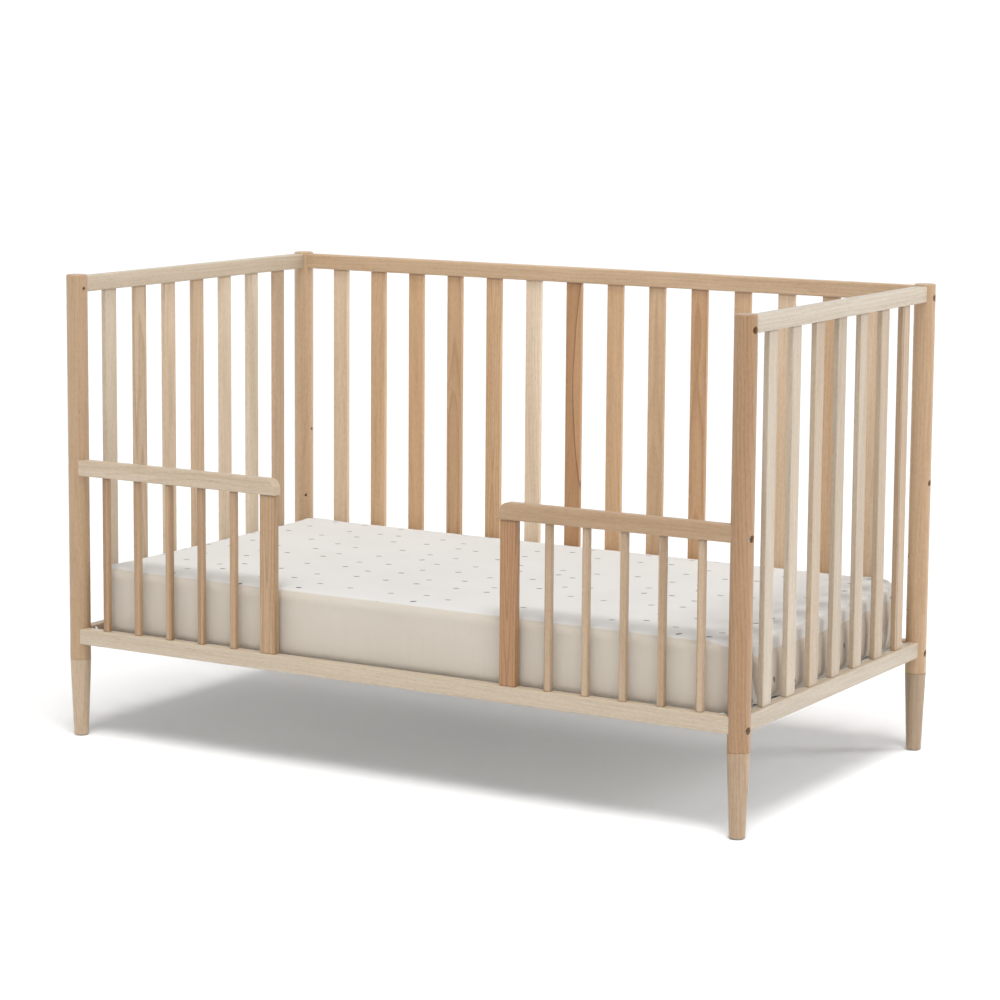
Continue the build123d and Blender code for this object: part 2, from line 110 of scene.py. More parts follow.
def make_studio():
    """White surround, a soft sun from high in front, and a smaller light from the right and behind."""
    bpy.context.scene.view_settings.view_transform = "Standard"
    world = bpy.data.worlds.new("studio")
    bpy.context.scene.world = world
    world.use_nodes = True
    tree = world.node_tree
    back = tree.nodes["Background"]
    back.inputs["Color"].default_value = (1.0, 1.0, 1.0, 1)
    heading = tree.nodes.new("ShaderNodeTexCoord")
    split = tree.nodes.new("ShaderNodeSeparateXYZ")
    dim = tree.nodes.new("ShaderNodeMapRange")
    dim.interpolation_type = "SMOOTHSTEP"
    tree.links.new(heading.outputs["Generated"], split.inputs[0])
    tree.links.new(split.outputs["Z"], dim.inputs["Value"])
    tree.links.new(dim.outputs[0], back.inputs["Strength"])
    limits = {"From Min": SKY_BAND[0], "From Max": SKY_BAND[1], "To Min": HORIZON_LIGHT, "To Max": SKY_LIGHT}
    for name, value in limits.items():
        dim.inputs[name].default_value = value
    sun = bpy.data.lights.new("key", "SUN")
    sun.energy = KEY_POWER
    sun.angle = math.radians(KEY_SOFTNESS)
    lamp = new_object("key", sun)
    lamp.rotation_euler = Vector(KEY_FROM).to_track_quat("Z", "Y").to_euler()
    add_side_light()
    mesh = bpy.data.meshes.new("floor")
    angles = [2 * math.pi * i / FLOOR_SIDES for i in range(FLOOR_SIDES)]
    points = [(FLOOR_RADIUS * math.cos(angle), FLOOR_RADIUS * math.sin(angle), 0) for angle in angles]
    mesh.from_pydata(points, [], [list(range(FLOOR_SIDES))])
    floor = new_object("floor", mesh)
    build = Build("floor")
    build.shader(roughness=0.8, colour=(FLOOR_GREY, FLOOR_GREY, FLOOR_GREY, 1))
    mesh.materials.append(build.material)


# ---------------------------------------------------------------- material helpers

class Build:
    """Short names for making one material's nodes."""

    def __init__(self, name):
        self.material = bpy.data.materials.new(name)
        self.material.use_nodes = True
        self.tree = self.material.node_tree
        self.tree.nodes.clear()

    def node(self, kind, **settings):
        node = self.tree.nodes.new(kind)
        for key, value in settings.items():
            setattr(node, key, value)
        return node

    def set(self, node, values):
        """Link or set each input, by its name or number."""
        for key, value in values.items():
            socket = node.inputs[key]
            if isinstance(value, bpy.types.NodeSocket):
                self.tree.links.new(value, socket)
            else:
                socket.default_value = value
        return node

    def math(self, operation, *values, clamp=False):
        node = self.node("ShaderNodeMath", operation=operation, use_clamp=clamp)
        return self.set(node, dict(enumerate(values))).outputs[0]

    def vector(self, operation, *values):
        node = self.node("ShaderNodeVectorMath", operation=operation)
        self.set(node, dict(enumerate(values)))
        return node.outputs["Value" if operation in ("LENGTH", "DOT_PRODUCT") else "Vector"]

    def mapped(self, value, low, high, to_low=0.0, to_high=1.0, smooth=False):
        node = self.node("ShaderNodeMapRange", clamp=True)
        node.interpolation_type = "SMOOTHSTEP" if smooth else "LINEAR"
        return self.set(node, {0: value, 1: low, 2: high, 3: to_low, 4: to_high}).outputs[0]

    def mix(self, factor, first, second, blend="MIX"):
        node = self.node("ShaderNodeMix", data_type="RGBA", blend_type=blend)
        self.set(node, {"Factor": factor})
        for name, value in (("A", first), ("B", second)):
            socket = next(s for s in node.inputs if s.name == name and s.type == "RGBA")
            if isinstance(value, bpy.types.NodeSocket):
                self.tree.links.new(value, socket)
            else:
                socket.default_value = (*value, 1)
        return next(s for s in node.outputs if s.type == "RGBA")

    def noise(self, vector, detail=2.0, rough=0.5):
        node = self.node("ShaderNodeTexNoise")
        self.set(node, {"Vector": vector, "Scale": 1.0, "Detail": detail, "Roughness": rough})
        return node.outputs[0]

    def stretched(self, vector, scale):
        return self.vector("MULTIPLY", vector, scale)

    def bump(self, height, strength, distance):
        node = self.node("ShaderNodeBump")
        return self.set(node, {"Strength": strength, "Distance": distance, "Height": height}).outputs[0]

    def shader(self, **values):
        """The principled shader and the output; values are set straight on its sockets."""
        names = {"colour": "Base Color", "roughness": "Roughness", "metallic": "Metallic", "normal": "Normal",
                 "sheen": "Sheen Weight", "sheen_rough": "Sheen Roughness", "coat": "Coat Weight",
                 "coat_rough": "Coat Roughness", "level": "Specular IOR Level"}
        shade = self.node("ShaderNodeBsdfPrincipled")
        self.set(shade, {names[key]: value for key, value in values.items()})
        out = self.node("ShaderNodeOutputMaterial")
        self.tree.links.new(shade.outputs[0], out.inputs["Surface"])

    def place(self):
        return self.node("ShaderNodeTexCoord").outputs["Object"]

    def split(self, vector):
        node = self.set(self.node("ShaderNodeSeparateXYZ"), {0: vector})
        return node.outputs["X"], node.outputs["Y"], node.outputs["Z"]

    def join(self, x, y, z=0.0):
        return self.set(self.node("ShaderNodeCombineXYZ"), {0: x, 1: y, 2: z}).outputs[0]


def paint(node, material):
    """Give a CAD node its procedural material, without touching its shape."""
    for slot in NODES[node].material_slots:
        slot.material = material


# ---------------------------------------------------------------- beech

SAPWOOD = (0.640, 0.575, 0.480)
PALE = (0.690, 0.565, 0.425)
TAN = (0.650, 0.435, 0.255)
BROWN = (0.520, 0.300, 0.150)


def blend_colour(first, second, amount):
    return tuple(a + (b - a) * amount for a, b in zip(first, second))


def shaded(colour, red, green, blue):
    return (colour[0] * red, colour[1] * green, colour[2] * blue)


def wood_colour(tone, shade):
    """-1 is bleached sapwood, 0 is pale, 1 is tan and 2 is brown; shade darkens or lightens it."""
    stops = (SAPWOOD, PALE, TAN, BROWN)
    step = min(max(int(math.floor(tone)) + 1, 0), 2)
    return shaded(blend_colour(stops[step], stops[step + 1], tone + 1 - step), shade, shade, shade)


LEAN = 0.035                      # radians, the most that a piece's log leans either way
FLAT_LEAN = 0.032                 # of a flat-sawn piece, so that its arches close within its length
PITH_AWAY = (0.030, 0.085)        # metres from the piece's middle to the pith


def log_place(build, centre, along, draw, flat):
    """Where a piece was in its log: Z along the grain, and the pith on the Z axis, leaning a little.

    flat is the axis that the broad face looks along, in a piece whose face cuts the rings flat.
    """
    align = {"X": Matrix.Rotation(-math.pi / 2, 3, "Y"), "Y": Matrix.Rotation(math.pi / 2, 3, "X"),
             "Z": Matrix.Identity(3)}[along]
    tilts = [draw.uniform(-LEAN, LEAN), draw.uniform(-LEAN, LEAN)]
    angle, away = draw.uniform(0, 2 * math.pi), draw.uniform(*PITH_AWAY)
    if flat is not None:
        angle, away = flat * math.pi / 2, away / 4
        tilts[flat] /= 8
        tilts[1 - flat] = math.copysign(FLAT_LEAN, tilts[1 - flat])
    turn = Matrix.Rotation(tilts[0], 3, "X") @ Matrix.Rotation(tilts[1], 3, "Y") @ align
    pith = Vector((away * math.cos(angle), away * math.sin(angle), draw.uniform(-3, 3)))
    mapping = build.node("ShaderNodeMapping", vector_type="POINT")
    build.set(mapping, {"Vector": build.place(), "Location": pith - turn @ Vector(centre),
                        "Rotation": turn.to_euler("XYZ")})
    return mapping.outputs[0]


def heart_line(build, centre, heart, colour, line):
    """Heartwood on one side of a bowed line, sapwood on the other, and a dark line between them."""
    axis, offset, bow, middle, reach = heart
    place = build.split(build.place())
    wander = build.noise(build.stretched(build.place(), (60, 60, 9)), detail=2)
    across = build.math("SUBTRACT", place[axis], centre[axis] + offset)
    across = build.math("ADD", across, build.math("MULTIPLY", build.math("SUBTRACT", wander, 0.5), 0.006))
    along = build.math("DIVIDE", build.math("SUBTRACT", place[2], middle), reach)
    across = build.math("SUBTRACT", across, build.math("MULTIPLY", build.math("POWER", along, 2.0), bow))
    sap = build.mix(1.0, colour, (1.18, 1.24, 1.32), blend="MULTIPLY")
    colour = build.mix(build.mapped(across, 0.0, 0.002), colour, sap)
    near = build.mapped(build.math("ABSOLUTE", across), 0.0004, 0.0018, 0.9, 0.0)
    return build.mix(near, colour, line)


def painted_joint_shadow(build, colour, seats, dark):
    """Painted shadow where a slat goes into the rail above it and the rail below it, deeper under the rail
    above.
    """
    height = build.split(build.place())[2]
    above = build.mapped(height, seats[1] - 5 * MM, seats[1], 0.0, 0.75, smooth=True)
    below = build.mapped(height, seats[0] + 3.5 * MM, seats[0], 0.0, 0.5, smooth=True)
    return build.mix(build.math("ADD", above, below), colour, dark)


def beech(name, centre, along, look, draw, heart=None, steps=0.0, flat=None, seats=None):
    """Lacquered beech cut from its own place in a log.

    Growth rings are circles round the pith, so that a face shows straight lines or long arches as
    it does in sawn boards. look is the piece's tone, shade and how strongly the rings show; heart
    is a line between heartwood and sapwood; steps gives the separate members of one node, that far
    apart, different tones; flat is for log_place; seats are the heights at which the piece leaves
    its rails, where a painted shadow darkens it; draw is the piece's own random numbers.
    """
    tone, shade, figure = look
    build = Build(f"beech_{name}")
    grain = log_place(build, centre, along, draw, flat)

    sway = build.noise(build.stretched(grain, (9, 9, 2.4)), detail=2)
    fine_sway = build.noise(build.stretched(grain, (70, 70, 8)), detail=1)
    radius = build.vector("LENGTH", build.stretched(grain, (1, 1, 0)))
    radius = build.math("ADD", radius, build.math("MULTIPLY", sway, 0.030))
    radius = build.math("ADD", radius, build.math("MULTIPLY", fine_sway, 0.0022))
    ring = build.math("FRACT", build.math("MULTIPLY", radius, 1 / draw.uniform(0.0045, 0.0075)))
    late = build.math("MULTIPLY", build.math("POWER", ring, 2.5), build.mapped(ring, 0.90, 1.0, 1.0, 0.0))

    broad = build.mapped(build.noise(build.stretched(grain, (38, 38, 1.1)), detail=2), 0.32, 0.68)
    fibre_noise = build.noise(build.stretched(grain, (330, 330, 8)), detail=3, rough=0.7)
    fibre = build.mapped(fibre_noise, 0.40, 0.66)
    mottle = build.mapped(build.noise(build.stretched(grain, (260, 260, 120)), detail=1), 0.35, 0.70)
    fleck = build.mapped(build.noise(build.stretched(grain, (700, 700, 110)), detail=1), 0.62, 0.74)

    base = wood_colour(tone, shade)
    light, dark = shaded(base, 1.07, 1.07, 1.07), shaded(base, 0.68, 0.58, 0.46)
    shares = ((broad, 0.30), (late, 0.42 * figure), (fibre, 0.24), (mottle, 0.14), (fleck, 0.32))
    depth = 0.0
    for value, share in shares:
        depth = build.math("MULTIPLY_ADD", value, share, depth)
    if steps:
        number = build.math("ROUND", build.math("DIVIDE", build.split(build.place())[0], steps))
        chance = build.node("ShaderNodeTexWhiteNoise", noise_dimensions="1D")
        build.set(chance, {"W": build.math("ADD", number, draw.uniform(0, 50))})
        depth = build.math("ADD", depth, build.mapped(chance.outputs[0], 0.0, 1.0, -0.30, 0.45))
    colour = build.mix(depth, light, dark)
    if heart:
        colour = heart_line(build, centre, heart, colour, shaded(base, 0.50, 0.40, 0.32))
    # Painted shadow where the piece goes into its rails, darkest just under the rail above.
    if seats:
        colour = painted_joint_shadow(build, colour, seats, shaded(base, 0.42, 0.33, 0.26))
    height = build.math("ADD", fibre_noise, build.math("MULTIPLY", fleck, -0.8))
    build.shader(colour=colour, roughness=build.mapped(fibre_noise, 0.3, 0.7, 0.36, 0.48),
                 normal=build.bump(height, 0.25, 0.0003), coat=0.22, coat_rough=0.22)
    return build.material


SPINDLE_STEP = 70.7 * MM
# Tone and shade of every piece; how strongly the rings show is drawn at random, but for FIGURED.
BACK_LOOKS = ((0.3, 1.0), (0.9, 0.95), (1.3, 0.95), (1.2, 0.9), (1.0, 0.95), (-0.1, 1.1), (2.2, 0.9),
              (1.3, 0.95), (0.9, 0.85), (1.7, 0.95), (1.0, 0.9), (0.4, 1.0), (0.9, 0.9), (0.4, 1.0))
LEFT_LOOKS = ((-0.3, 0.85), (0.3, 0.85), (0.1, 0.95), (0.6, 0.85), (-0.1, 1.0), (-0.3, 1.0), (0.6, 0.8))
RIGHT_LOOKS = ((-0.5, 0.75), (-0.5, 0.8), (0.1, 0.7), (-0.1, 0.65), (-0.2, 0.7), (0.2, 0.65), (0.7, 0.6))
NAMED_LOOKS = {
    "post_front_left": (0.9, 0.7), "post_front_right": (1.6, 0.7), "post_rear_left": (0.8, 0.8),
    "post_rear_right": (0.9, 0.75),
    "foot_front_left": (0.3, 0.75), "foot_front_right": (0.6, 0.65), "foot_rear_left": (0.5, 0.75),
    "foot_rear_right": (0.5, 0.55),
    "end_rail_left_top": (-0.3, 0.8), "end_rail_left_bottom": (0.3, 0.8),
    "end_rail_right_top": (-0.9, 0.8), "end_rail_right_bottom": (-0.6, 0.7),
    "back_rail_top": (0.7, 0.85), "back_rail_bottom": (0.9, 0.9), "front_rail_bottom": (-0.4, 0.8),
    "guard_rail_left": (-0.1, 0.8), "guard_rail_right": (0.9, 0.65),
    "guard_board_left": (1.0, 0.7), "guard_board_right": (2.2, 0.8),
    "guard_spindles_left": (1.1, 0.65), "guard_spindles_right": (0.5, 0.7),
}
FIGURED = {"end_slat_left_2": 1.6, "guard_board_left": 1.7, "back_slat_04": 1.2, "back_slat_05": 1.5,
           "back_slat_10": 1.5, "foot_front_right": 1.1, "guard_board_right": 1.8, "post_front_right": 1.1}
FLAT_SAWN_FROM = 1.15             # a piece in FIGURED above this shows its rings cut flat
TENON = 10 * MM
TENONED = re.compile("slat|spindles|board")
# Axis across the piece, offset from its middle, how far the line bows, and where along Z it does.
HEARTS = {
    "back_slat_07": (0, 0.7 * MM, 9.2 * MM, 0.626, 0.150),
    "end_slat_right_7": (1, -12.0 * MM, 2.0 * MM, 0.500, 0.300),
}


def grain_axis(name):
    if name.startswith("end_rail"):
        return "Y"
    return "X" if "_rail" in name else "Z"


def wood_look(name):
    """The tone and shade of a wooden piece."""
    if name.startswith("back_slat"):
        return BACK_LOOKS[int(name[-2:]) - 1]
    if name.startswith("end_slat"):
        return (LEFT_LOOKS if "left" in name else RIGHT_LOOKS)[int(name[-1]) - 1]
    return NAMED_LOOKS[name]


def paint_wood():
    for name in sorted(NODES):
        if not name.startswith(("post_", "foot_front", "foot_rear", "end_", "back_", "front_", "guard_")):
            continue
        draw = random.Random(name)
        low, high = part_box(name)
        figure = FIGURED.get(name, draw.uniform(0.2, 0.7))
        steps = SPINDLE_STEP if "spindles" in name else 0.0
        flat = (0 if name.startswith("end_") else 1) if FIGURED.get(name, 0) > FLAT_SAWN_FROM else None
        seats = (low.z + TENON, high.z - TENON) if TENONED.search(name) else None
        paint(name, beech(name, (low + high) / 2, grain_axis(name), (*wood_look(name), figure), draw,
                          HEARTS.get(name), steps, flat, seats))
    draw = random.Random("dowel")
    paint("rail_dowels", beech("dowels", (0, 0, 0), "X", (0.4, 1.0, 0.3), draw))


# ---------------------------------------------------------------- steel and plastic

def paint_hardware():
    build = Build("zinc_steel")
    swirl = build.noise(build.stretched(build.place(), (700, 700, 700)), detail=3, rough=0.6)
    patch = build.noise(build.stretched(build.place(), (60, 60, 60)), detail=2)
    colour = build.mix(build.mapped(patch, 0.3, 0.7), (0.50, 0.50, 0.51), (0.64, 0.64, 0.65))
    build.shader(colour=colour, metallic=1.0, roughness=build.mapped(swirl, 0.2, 0.8, 0.26, 0.46),
                 normal=build.bump(swirl, 0.15, 0.0002))
    for name in ("rail_bolts", "rail_inserts", "hanger_bolts", "foot_studs"):
        paint(name, build.material)

    build = Build("drawn_wire")
    line = build.noise(build.stretched(build.place(), (900, 900, 900)), detail=2)
    build.shader(colour=build.mix(line, (0.42, 0.42, 0.44), (0.60, 0.60, 0.62)), metallic=1.0,
                 roughness=build.mapped(line, 0.2, 0.8, 0.30, 0.50), normal=build.bump(line, 0.1, 0.0002))
    paint("support_wires", build.material)
    wire = build.material

    build = Build("powder_coat")
    peel = build.noise(build.stretched(build.place(), (420, 420, 420)), detail=1)
    dust = build.noise(build.stretched(build.place(), (7, 7, 7)), detail=3)
    build.shader(colour=build.mix(build.mapped(dust, 0.3, 0.8), (0.80, 0.80, 0.78), (0.70, 0.70, 0.68)),
                 roughness=build.mapped(dust, 0.2, 0.8, 0.34, 0.44), normal=build.bump(peel, 0.2, 0.0003))
    paint("support_frame", build.material)
    paint("support_hangers", build.material)

    build = Build("nylon")
    scuff = build.noise(build.stretched(build.place(), (240, 240, 30)), detail=3)
    build.shader(colour=build.mix(build.mapped(scuff, 0.4, 0.8), (0.52, 0.50, 0.46), (0.40, 0.38, 0.35)),
                 roughness=build.mapped(scuff, 0.2, 0.8, 0.48, 0.65), normal=build.bump(scuff, 0.2, 0.0004))
    paint("foot_glides", build.material)
    return wire


# ---------------------------------------------------------------- springs

def tube(points, radius, sides):
    """Vertices and faces of a closed tube along a line of points."""
    points = np.array(points)
    heading = np.gradient(points, axis=0)
    heading /= np.linalg.norm(heading, axis=1)[:, None]
    guide = np.array((0.31, 0.27, 0.91))
    across = np.cross(heading, guide)
    across /= np.linalg.norm(across, axis=1)[:, None]
    up = np.cross(heading, across)
    angles = np.arange(sides) * 2 * math.pi / sides
    rings = (points[:, None] + radius * (np.cos(angles)[None, :, None] * across[:, None]
                                         + np.sin(angles)[None, :, None] * up[:, None]))
    faces = []
    for i in range(len(points) - 1):
        for j in range(sides):
            k = (j + 1) % sides
            faces.append((i * sides + j, i * sides + k, (i + 1) * sides + k, (i + 1) * sides + j))
    faces.append(tuple(range(sides))[::-1])
    faces.append(tuple(range((len(points) - 1) * sides, len(points) * sides)))
    return rings.reshape(-1, 3), faces


def coil_line(start, end, radius, turns):
    """A tension spring with a hook at each end, from one point to another."""
    start, end = Vector(start), Vector(end)
    axis = (end - start).normalized()
    side = Vector((0, 0, 1))
    other = axis.cross(side)
    body_start, body_end = 0.16, 0.84
    steps = turns * 12
    line = [start]
    for i in range(steps + 1):
        t = body_start + (body_end - body_start) * i / steps
        angle = 2 * math.pi * turns * i / steps
        line.append(start.lerp(end, t) + radius * (math.cos(angle) * side + math.sin(angle) * other))
    line.append(end)
    return line


COIL_LENGTH = 33.2 * MM
COIL_RADIUS = 3.5 * MM
COIL_WIRE = 0.85 * MM             # radius
COIL_TURNS = 11


def make_springs(material):
    """The drawn coils that stand for the CAD tubes."""
    mesh = NODES["support_springs"].data
    parts = np.array([v.co for v in mesh.vertices])
    seen, verts, faces, offset = set(), [], [], 0
    low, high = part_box("support_springs")
    for sign, axis in ((-1, 0), (1, 0), (-1, 1), (1, 1)):
        edge = (low, high)[sign > 0][axis]
        near = parts[np.abs(parts[:, axis] - edge) < 0.5 * MM]
        cross = 1 - axis
        values = np.sort(near[:, cross])
        groups = np.split(values, np.where(np.diff(values) > 20 * MM)[0] + 1)
        for group in groups:
            centre = (group.min() + group.max()) / 2
            start, end = [0, 0, (low.z + high.z) / 2], [0, 0, (low.z + high.z) / 2]
            start[axis], end[axis] = edge, edge - sign * COIL_LENGTH
            start[cross] = end[cross] = centre
            key = tuple(round(v, 4) for v in start)
            if key in seen:
                continue
            seen.add(key)
            ring, quads = tube(coil_line(start, end, COIL_RADIUS, COIL_TURNS), COIL_WIRE, 6)
            verts.append(ring)
            faces += [tuple(i + offset for i in quad) for quad in quads]
            offset += len(ring)
    made = bpy.data.meshes.new("spring_coils")
    made.from_pydata(np.concatenate(verts).tolist(), [], faces)
    made.shade_smooth()
    made.materials.append(material)
    coils = new_object("spring_coils", made)
    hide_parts("support_springs")
    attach(coils, "crib")


# ---------------------------------------------------------------- mattress and fitted sheet

BOX_LO, BOX_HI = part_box("mattress")
CORNER = 55 * MM
RIM = 14 * MM
# Known fault: too little at the ends, where END_ROUND draws the sheet's top edge in further than
# this and the core comes through it.
CORE_INSET = 5 * MM
SWELL_TOP = 3.0 * MM
SWELL_SIDE = 2.5 * MM
HEM_WIDTH = 62 * MM
SHEET_VOXEL = 6 * MM
SIDE_SWELL = 0.7 * MM             # of the plain long sides, which stay flat
END_ROUND = (24 * MM, 40 * MM)    # the softer top edge of both ends: how far in, and how far down
FOLD_DEPTH = 3.4 * MM
CLOTH_STEPS = 20
CLOTH_CLEAR = 0.8 * MM
CLOTH_THICK = 0.7 * MM
PLAIN_FROM, PLAIN_TO = 13.5 * MM, 8.5 * MM       # inside the long sides, where the beige cloth starts
MARK_REACH = (4.5 * MM, 6.1 * MM)                # half the length of a printed mark, and its soft end
MARK_THICK = (3.3 * MM, 4.5 * MM)                # the same for half its width
WARP_PITCH, WEFT_PITCH = 3.4 * MM, 1.1 * MM
QUILT_PITCH = 85 * MM
PRINT_PITCH = 72 * MM
PRINT_SLANT = (5, 50)             # degrees, the least and most that a mark is turned


def evaluated(obj):
    """The mesh of an object with its modifiers applied."""
    graph = bpy.context.evaluated_depsgraph_get()
    return bpy.data.meshes.new_from_object(obj.evaluated_get(graph))


def padded_block(name, low, high, corner, rim, voxel):
    """A box with rounded plan corners and rims, remeshed evenly."""
    shape = bmesh.new()
    bmesh.ops.create_cube(shape, size=1)
    bmesh.ops.scale(shape, vec=high - low, verts=shape.verts)
    bmesh.ops.translate(shape, vec=(low + high) / 2, verts=shape.verts)
    upright = [e for e in shape.edges if abs(e.verts[0].co.z - e.verts[1].co.z) > 1 * MM]
    bmesh.ops.bevel(shape, geom=upright, offset=corner, segments=12, profile=0.5, affect="EDGES")
    level = [e for e in shape.edges if abs(e.verts[0].co.z - e.verts[1].co.z) < 0.1 * MM
             and len({round(f.normal.z) for f in e.link_faces}) == 2]
    bmesh.ops.bevel(shape, geom=level, offset=rim, segments=6, profile=0.5, affect="EDGES")
    mesh = bpy.data.meshes.new(name)
    shape.to_mesh(mesh)
    shape.free()
    obj = new_object(name, mesh)
    remesh = obj.modifiers.new("remesh", "REMESH")
    remesh.mode = "VOXEL"
    remesh.voxel_size = voxel
    even = evaluated(obj)
    obj.modifiers.clear()
    obj.data = even
    return obj


def smooth_step(value, low, high):
    t = np.clip((value - low) / (high - low), 0, 1)
    return t * t * (3 - 2 * t)


def get_points(mesh):
    points = np.zeros(len(mesh.vertices) * 3)
    mesh.vertices.foreach_get("co", points)
    return points.reshape(-1, 3)


def get_normals(mesh):
    normals = np.zeros(len(mesh.vertices) * 3)
    mesh.vertices.foreach_get("normal", normals)
    return normals.reshape(-1, 3)


def set_points(mesh, points):
    mesh.vertices.foreach_set("co", points.astype(np.float32).ravel())
    mesh.update()


def gather(points, normals):
    """Folds of the spare cloth that a fitted sheet has round its corners and along its hem."""
    x, y, z = points.T
    centre_y = (BOX_LO.y + BOX_HI.y) / 2
    half_x = (BOX_HI.x - BOX_LO.x) / 2
    half_y = (BOX_HI.y - BOX_LO.y) / 2
    drop = np.clip((BOX_HI.z - z) / (BOX_HI.z - BOX_LO.z), 0, 1)
    from_front = (y - centre_y) + half_y
    from_rear = half_y - (y - centre_y)
    corner = np.minimum(from_front, from_rear)
    at_end = smooth_step(np.abs(x), half_x - 30 * MM, half_x - 4 * MM)
    near = 1 - smooth_step(corner, 20 * MM, 210 * MM)
    low = smooth_step(drop, 0.08, 0.95)
    side = np.where(from_front < from_rear, 1.0, -1.0)
    slant = corner + 0.55 * (z - BOX_LO.z) * near
    wave = np.sin(2 * math.pi * slant / (27 * MM) + 1.3 * np.sin(9 * z / 0.1 + x) + side)
    wave += 0.5 * np.sin(2 * math.pi * slant / (15 * MM) + 2.1 * side + 0.7 * np.sin(z / 0.013))
    folds = FOLD_DEPTH * wave * low * near * at_end
    slow = 0.7 * MM * np.sin(2 * math.pi * y / (95 * MM) + 2 * z / 0.1) * low * at_end * (1 - near)
    rim_wave = 0.5 * MM * np.sin(2 * math.pi * (x + y) / (34 * MM)) * smooth_step(drop, 0.85, 1.0)
    return points + normals * (folds + slow + rim_wave)[:, None]


def round_ends(points):
    """Bring the top edges of both ends in to a softer, wider curve."""
    reach = np.array(END_ROUND)
    inward = np.stack((BOX_HI.x - SWELL_SIDE - np.abs(points[:, 0]), BOX_HI.z - SWELL_TOP - points[:, 2]), 1)
    left = np.clip((reach - inward) / reach, 0, None)
    over = np.maximum(np.linalg.norm(left, axis=1), 1)
    over[(left == 0).any(axis=1)] = 1
    moved = points.copy()
    kept = reach - left * reach / over[:, None]
    change = (kept - inward) * (over > 1)[:, None]
    moved[:, 0] -= np.sign(points[:, 0]) * change[:, 0]
    moved[:, 2] -= change[:, 1]
    return moved


def relax(obj):
    """Let the cloth settle over its filling, then keep it near the shape it has to fit."""
    start, normals = get_points(obj.data), get_normals(obj.data)
    cloth = obj.modifiers.new("cloth", "CLOTH")
    settings = cloth.settings
    settings.quality = 4
    settings.mass = 0.3
    settings.tension_stiffness = settings.compression_stiffness = 15
    settings.shear_stiffness = 5
    settings.bending_stiffness = 0.5
    settings.use_pressure = True
    settings.uniform_pressure_force = 4
    settings.effector_weights.gravity = 0
    scene = bpy.context.scene
    for number in range(1, CLOTH_STEPS + 1):
        scene.frame_set(number)
    settled = evaluated(obj)
    moved = get_points(settled) - start
    obj.modifiers.clear()
    scene.frame_set(1)
    limit = np.where(np.abs(normals[:, 2]) > 0.7, SWELL_TOP, SWELL_SIDE)
    flat_side = smooth_step(np.abs(normals[:, 1]), 0.25, 0.75)
    limit = limit + (SIDE_SWELL - limit) * flat_side
    length = np.linalg.norm(moved, axis=1)
    scale = limit * np.tanh(length / limit) / np.maximum(length, 1e-9)
    set_points(obj.data, start + moved * scale[:, None])


def make_sheet():
    """The fitted sheet: a cloth shell over the mattress, open underneath inside its hem."""
    inset = Vector((SWELL_SIDE + CLOTH_CLEAR, SIDE_SWELL + CLOTH_CLEAR, 0.6 * MM))
    low, high = BOX_LO + inset, BOX_HI - inset
    high.z = BOX_HI.z - SWELL_TOP
    sheet = padded_block("fitted_sheet", low, high, CORNER - inset.x, RIM, SHEET_VOXEL)
    shape = bmesh.new()
    shape.from_mesh(sheet.data)
    centre = (low + high) / 2
    half = (high - low) / 2
    inner = [f for f in shape.faces if f.calc_center_median().z < low.z + 1.5 * MM
             and abs(f.calc_center_median().x) < half.x - HEM_WIDTH
             and abs(f.calc_center_median().y - centre.y) < half.y - HEM_WIDTH]
    bmesh.ops.delete(shape, geom=inner, context="FACES")
    shape.normal_update()
    shape.to_mesh(sheet.data)
    shape.free()
    sheet.data.update()
    gathered = gather(get_points(sheet.data), get_normals(sheet.data))
    set_points(sheet.data, round_ends(gathered))
    relax(sheet)
    points = get_points(sheet.data)
    points[:, 2] = np.maximum(points[:, 2], BOX_LO.z + 0.9 * MM)
    set_points(sheet.data, points)
    smooth = sheet.modifiers.new("smooth", "SUBSURF")
    smooth.levels = smooth.render_levels = 1
    thick = sheet.modifiers.new("cloth", "SOLIDIFY")
    thick.thickness = CLOTH_THICK
    thick.offset = -1
    sheet.data = evaluated(sheet)
    sheet.modifiers.clear()
    sheet.data.shade_smooth()
    sheet.data.materials.clear()
    sheet.data.materials.append(sheet_cloth())
    return sheet


